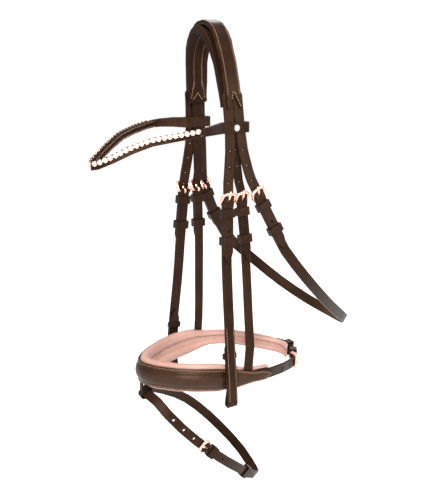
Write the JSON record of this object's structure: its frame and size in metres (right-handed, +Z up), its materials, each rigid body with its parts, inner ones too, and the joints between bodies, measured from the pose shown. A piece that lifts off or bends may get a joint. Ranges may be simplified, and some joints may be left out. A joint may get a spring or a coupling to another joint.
{
  "type": "horse bridle",
  "caption": "Leather horse bridle headstall: padded crown, throatlatch, jewelled browband, raised padded noseband with flash strap, and buckled cheekpieces ending in bit loops.",
  "frame": {"origin": "poll seat: under the middle of the crown pad, where the headpiece rests behind the horse's ears", "axes": "+Z up, -Y towards the horse's nose, +X to the near (left) side of the head"},
  "size_m": [0.1421, 0.3635, 0.5774],
  "materials": {
    "leather": "smooth oiled dark brown bridle leather, low sheen",
    "soft_leather": "matt dark brown padding leather",
    "lining": "soft rose-beige lining leather, matt",
    "rose_gold": "polished rose-gold plate on brass",
    "crystal": "faceted champagne crystal in rose-gold cups"
  },
  "bodies": {
    "headstall": {"bit_keeper_lower_far": "leather", "bit_keeper_lower_near": "leather", "bit_keeper_upper_far": "leather", "bit_keeper_upper_near": "leather", "cheek_far_keeper": "leather", "cheek_near_keeper": "leather", "cheekpiece_far": "leather", "cheekpiece_near": "leather", "chin_keeper": "leather", "crown_facing": "leather", "crown_pad": "soft_leather", "crown_strap": "leather", "flash_loop": "leather", "hanger_far_keeper": "leather", "hanger_near_keeper": "leather", "hook_stud_far": "rose_gold", "hook_stud_near": "rose_gold", "noseband_front": "leather", "noseband_hanger_far": "leather", "noseband_hanger_near": "leather", "noseband_headstrap": "leather", "noseband_lining": "lining", "noseband_strap": "leather", "throat_far_keeper": "leather", "throat_near_keeper": "leather", "throatlatch": "leather"},
    "browband": {"browband_strap": "leather", "browband_lining": "soft_leather", "browband_loop_near": "leather", "browband_loop_far": "leather", "browband_stud": "rose_gold", "crystal_chain": "crystal"},
    "flash": {"flash_strap": "leather", "flash_keeper": "leather"},
    "cheek_buckle_near": {"cheek_buckle_near_frame": "rose_gold"},
    "cheek_buckle_near_tongue": {"cheek_buckle_near_tongue": "rose_gold"},
    "cheek_near_runner": {"cheek_near_runner": "leather"},
    "cheek_buckle_far": {"cheek_buckle_far_frame": "rose_gold"},
    "cheek_buckle_far_tongue": {"cheek_buckle_far_tongue": "rose_gold"},
    "cheek_far_runner": {"cheek_far_runner": "leather"},
    "hanger_buckle_near": {"hanger_buckle_near_frame": "rose_gold"},
    "hanger_buckle_near_tongue": {"hanger_buckle_near_tongue": "rose_gold"},
    "hanger_near_runner": {"hanger_near_runner": "leather"},
    "hanger_buckle_far": {"hanger_buckle_far_frame": "rose_gold"},
    "hanger_buckle_far_tongue": {"hanger_buckle_far_tongue": "rose_gold"},
    "hanger_far_runner": {"hanger_far_runner": "leather"},
    "throat_buckle_near": {"throat_buckle_near_frame": "rose_gold"},
    "throat_buckle_near_tongue": {"throat_buckle_near_tongue": "rose_gold"},
    "throat_near_runner": {"throat_near_runner": "leather"},
    "throat_buckle_far": {"throat_buckle_far_frame": "rose_gold"},
    "throat_buckle_far_tongue": {"throat_buckle_far_tongue": "rose_gold"},
    "throat_far_runner": {"throat_far_runner": "leather"},
    "chin_buckle": {"chin_buckle_frame": "rose_gold"},
    "chin_buckle_tongue": {"chin_buckle_tongue": "rose_gold"},
    "chin_runner": {"chin_runner": "leather"},
    "flash_buckle": {"flash_buckle_frame": "rose_gold"},
    "flash_buckle_tongue": {"flash_buckle_tongue": "rose_gold"},
    "flash_runner": {"flash_runner": "leather"}
  },
  "joints": [
    {"name": "browband_slide", "type": "slide", "parent": "headstall", "child": "browband", "axis": [0, 0, 1], "range_m": [-0.004, 0.004]},
    {"name": "flash_swing", "type": "hinge", "parent": "headstall", "child": "flash", "pos_m": [-0.01345, -0.08459, -0.40439], "axis": [0.9925, -0.1219, 0], "range_deg": [-6, 6]},
    {"name": "cheek_buckle_near_turn", "type": "hinge", "parent": "headstall", "child": "cheek_buckle_near", "pos_m": [0.0454, -0.0093, -0.177], "axis": [0.0052, 0.9982, -0.0603], "range_deg": [0, 5]},
    {"name": "cheek_buckle_near_tongue_lift", "type": "hinge", "parent": "cheek_buckle_near", "child": "cheek_buckle_near_tongue", "pos_m": [0.0454, -0.0093, -0.177], "axis": [0.0052, 0.9982, -0.0603], "range_deg": [0, 8]},
    {"name": "cheek_near_runner_slide", "type": "slide", "parent": "headstall", "child": "cheek_near_runner", "axis": [0.0861, -0.0606, -0.9944], "range_m": [-0.008, 0.008]},
    {"name": "cheek_buckle_far_turn", "type": "hinge", "parent": "headstall", "child": "cheek_buckle_far", "pos_m": [-0.0454, -0.0093, -0.177], "axis": [0.0052, -0.9982, 0.0603], "range_deg": [0, 5]},
    {"name": "cheek_buckle_far_tongue_lift", "type": "hinge", "parent": "cheek_buckle_far", "child": "cheek_buckle_far_tongue", "pos_m": [-0.0454, -0.0093, -0.177], "axis": [0.0052, -0.9982, 0.0603], "range_deg": [0, 8]},
    {"name": "cheek_far_runner_slide", "type": "slide", "parent": "headstall", "child": "cheek_far_runner", "axis": [-0.0853, -0.0606, -0.9945], "range_m": [-0.008, 0.008]},
    {"name": "hanger_buckle_near_turn", "type": "hinge", "parent": "headstall", "child": "hanger_buckle_near", "pos_m": [0.0454, 0.0094, -0.177], "axis": [-0.0044, 0.9982, 0.0595], "range_deg": [0, 5]},
    {"name": "hanger_buckle_near_tongue_lift", "type": "hinge", "parent": "hanger_buckle_near", "child": "hanger_buckle_near_tongue", "pos_m": [0.0454, 0.0094, -0.177], "axis": [-0.0044, 0.9982, 0.0595], "range_deg": [0, 8]},
    {"name": "hanger_near_runner_slide", "type": "slide", "parent": "headstall", "child": "hanger_near_runner", "axis": [0.0707, 0.0646, -0.9954], "range_m": [-0.008, 0.008]},
    {"name": "hanger_buckle_far_turn", "type": "hinge", "parent": "headstall", "child": "hanger_buckle_far", "pos_m": [-0.0454, 0.0094, -0.177], "axis": [-0.0044, -0.9982, -0.0595], "range_deg": [0, 5]},
    {"name": "hanger_buckle_far_tongue_lift", "type": "hinge", "parent": "hanger_buckle_far", "child": "hanger_buckle_far_tongue", "pos_m": [-0.0454, 0.0094, -0.177], "axis": [-0.0044, -0.9982, -0.0595], "range_deg": [0, 8]},
    {"name": "hanger_far_runner_slide", "type": "slide", "parent": "headstall", "child": "hanger_far_runner", "axis": [-0.0713, 0.0626, -0.9955], "range_m": [-0.008, 0.008]},
    {"name": "throat_buckle_near_turn", "type": "hinge", "parent": "headstall", "child": "throat_buckle_near", "pos_m": [0.0497, 0.0302, -0.174], "axis": [-0.038, 0.9092, 0.4145], "range_deg": [0, 5]},
    {"name": "throat_buckle_near_tongue_lift", "type": "hinge", "parent": "throat_buckle_near", "child": "throat_buckle_near_tongue", "pos_m": [0.0497, 0.0302, -0.174], "axis": [-0.038, 0.9092, 0.4145], "range_deg": [0, 8]},
    {"name": "throat_near_runner_slide", "type": "slide", "parent": "headstall", "child": "throat_near_runner", "axis": [0.1604, 0.4239, -0.8914], "range_m": [-0.008, 0.008]},
    {"name": "throat_buckle_far_turn", "type": "hinge", "parent": "headstall", "child": "throat_buckle_far", "pos_m": [-0.0535, 0.0245, -0.1765], "axis": [-0.0548, -0.9337, -0.3538], "range_deg": [0, 5]},
    {"name": "throat_buckle_far_tongue_lift", "type": "hinge", "parent": "throat_buckle_far", "child": "throat_buckle_far_tongue", "pos_m": [-0.0535, 0.0245, -0.1765], "axis": [-0.0548, -0.9337, -0.3538], "range_deg": [0, 8]},
    {"name": "throat_far_runner_slide", "type": "slide", "parent": "headstall", "child": "throat_far_runner", "axis": [-0.1383, 0.4717, -0.8709], "range_m": [-0.008, 0.008]},
    {"name": "chin_buckle_turn", "type": "hinge", "parent": "headstall", "child": "chin_buckle", "pos_m": [0.03182, 0.09748, -0.38714], "axis": [0.0733, -0.0082, 0.9973], "range_deg": [0, 5]},
    {"name": "chin_buckle_tongue_lift", "type": "hinge", "parent": "chin_buckle", "child": "chin_buckle_tongue", "pos_m": [0.03182, 0.09748, -0.38714], "axis": [0.0733, -0.0082, 0.9973], "range_deg": [0, 8]},
    {"name": "chin_runner_slide", "type": "hinge", "parent": "headstall", "child": "chin_runner", "pos_m": [0.00599, 0.08518, -0.38472], "axis": [0.0812, -0.009, 0.9967], "range_deg": [0, 6.5]},
    {"name": "flash_buckle_turn", "type": "hinge", "parent": "flash", "child": "flash_buckle", "pos_m": [0.0307, -0.02845, -0.47285], "axis": [0.138, 0.6796, 0.7205], "range_deg": [0, 5]},
    {"name": "flash_buckle_tongue_lift", "type": "hinge", "parent": "flash_buckle", "child": "flash_buckle_tongue", "pos_m": [0.0307, -0.02845, -0.47285], "axis": [0.138, 0.6796, 0.7205], "range_deg": [0, 8]},
    {"name": "flash_runner_slide", "type": "slide", "parent": "flash", "child": "flash_runner", "axis": [-0.3069, 0.7208, -0.6215], "range_m": [-0.0015, 0.0015]}
  ]
}
